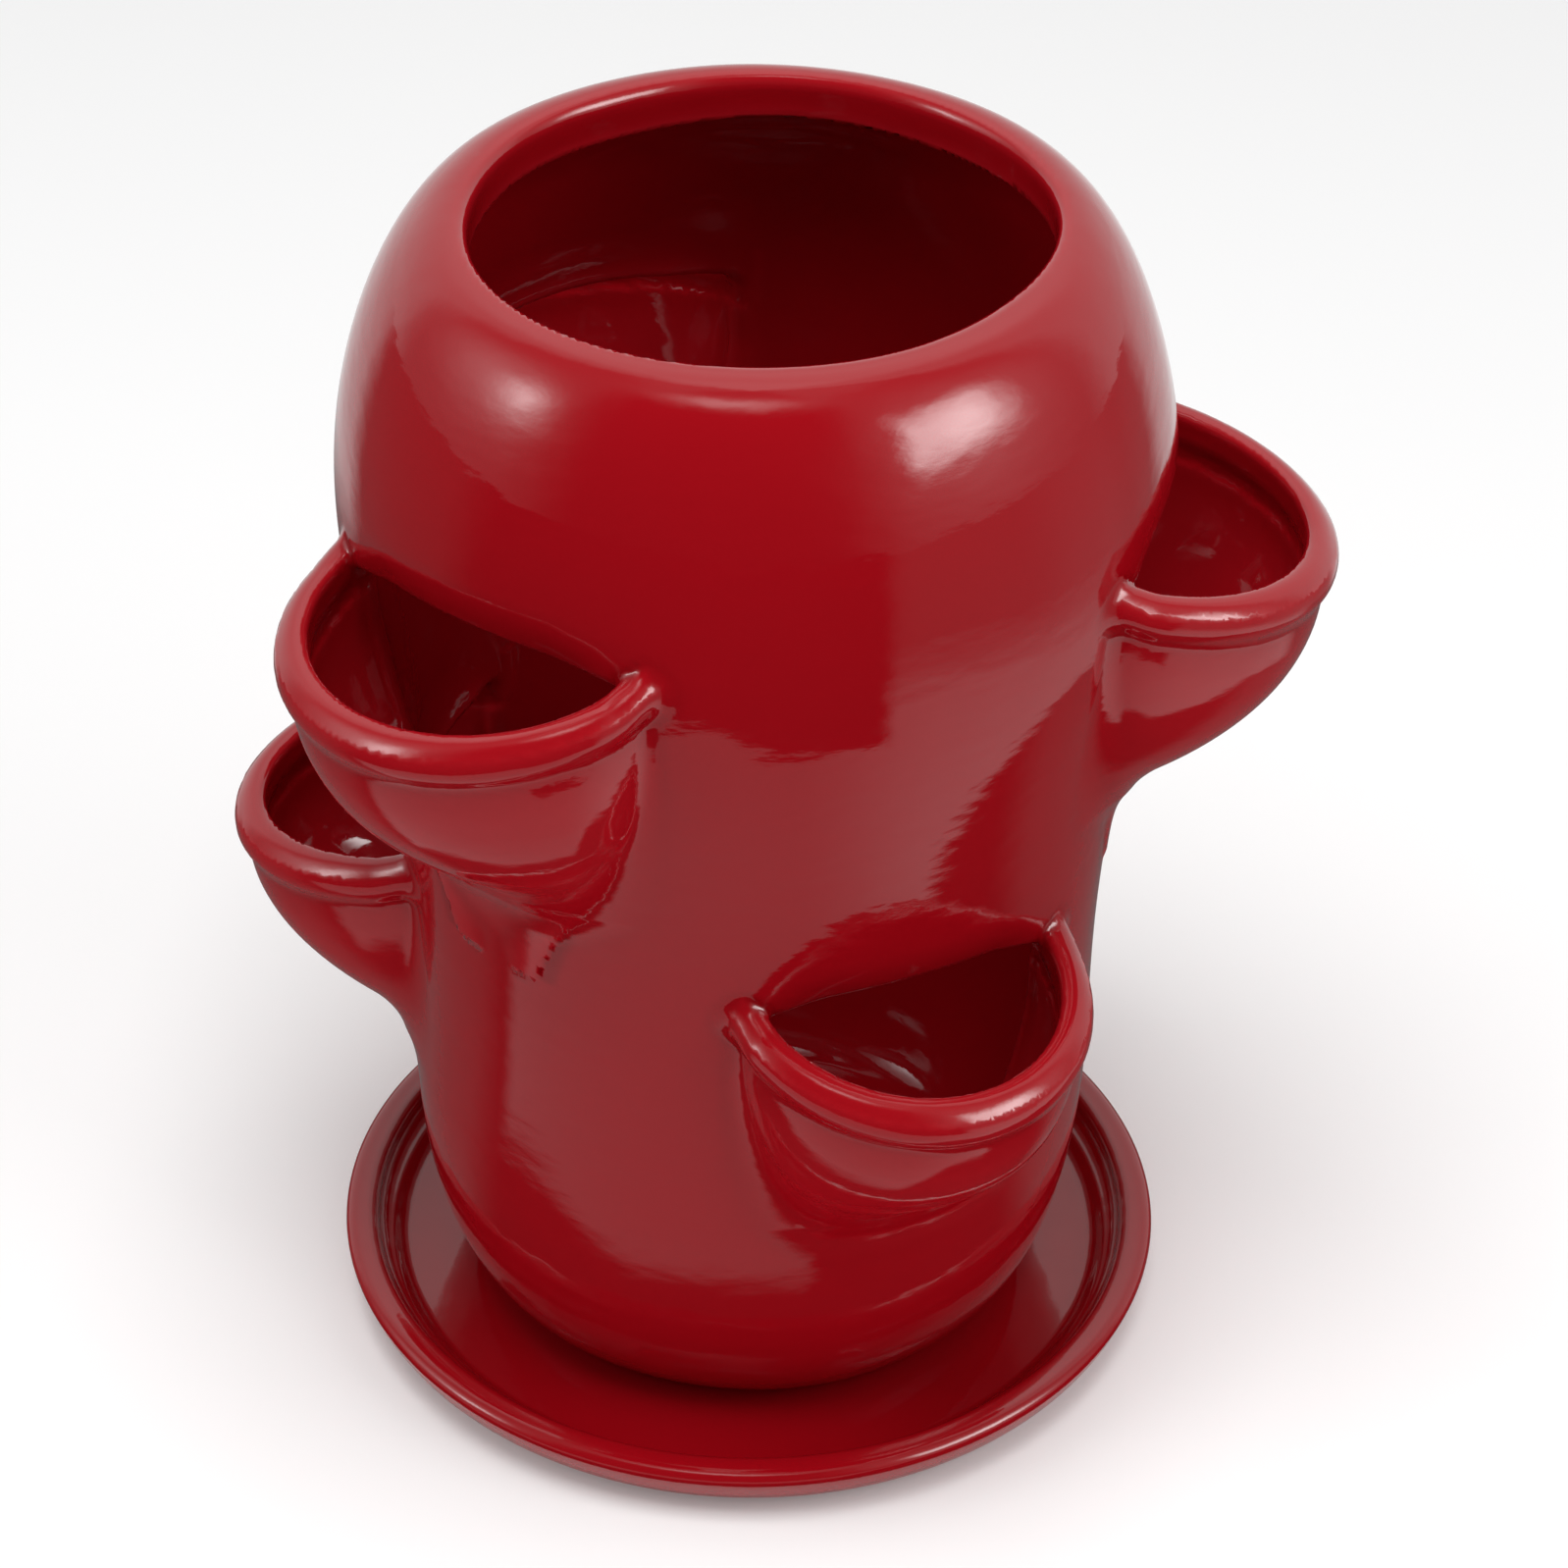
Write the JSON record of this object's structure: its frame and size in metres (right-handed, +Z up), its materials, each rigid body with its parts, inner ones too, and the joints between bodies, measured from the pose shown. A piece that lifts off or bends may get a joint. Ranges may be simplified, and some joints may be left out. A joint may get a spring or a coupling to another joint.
{
  "type": "strawberry jar planter",
  "caption": "Glazed ceramic strawberry jar: a round-shouldered pot with an open mouth and scooped planting pockets luted over windows in its wall, standing in a separate drip saucer.",
  "frame": {"origin": "centre of the saucer's flat underside, on the surface that the saucer stands on", "axes": "+Z up along the jar's axis, -Y towards the front that the picture shows, +X to the right seen from the front"},
  "size_m": [0.2469, 0.2278, 0.293],
  "materials": {
    "red_glaze": "high-gloss cherry red glaze over white earthenware"
  },
  "bodies": {
    "saucer": {"saucer": "red_glaze"},
    "jar": {"jar_heel": "red_glaze", "jar_waist": "red_glaze", "jar_shoulder": "red_glaze", "jar_mouth": "red_glaze", "pocket_upper_front_left": "red_glaze", "pocket_upper_right": "red_glaze", "pocket_upper_back_left": "red_glaze", "pocket_lower_front_right": "red_glaze", "pocket_lower_back_right": "red_glaze", "pocket_lower_left": "red_glaze"}
  },
  "joints": [
    {"name": "jar_lift", "type": "slide", "parent": "saucer", "child": "jar", "axis": [0, 0, 1], "range_m": [0, 0.04]}
  ]
}
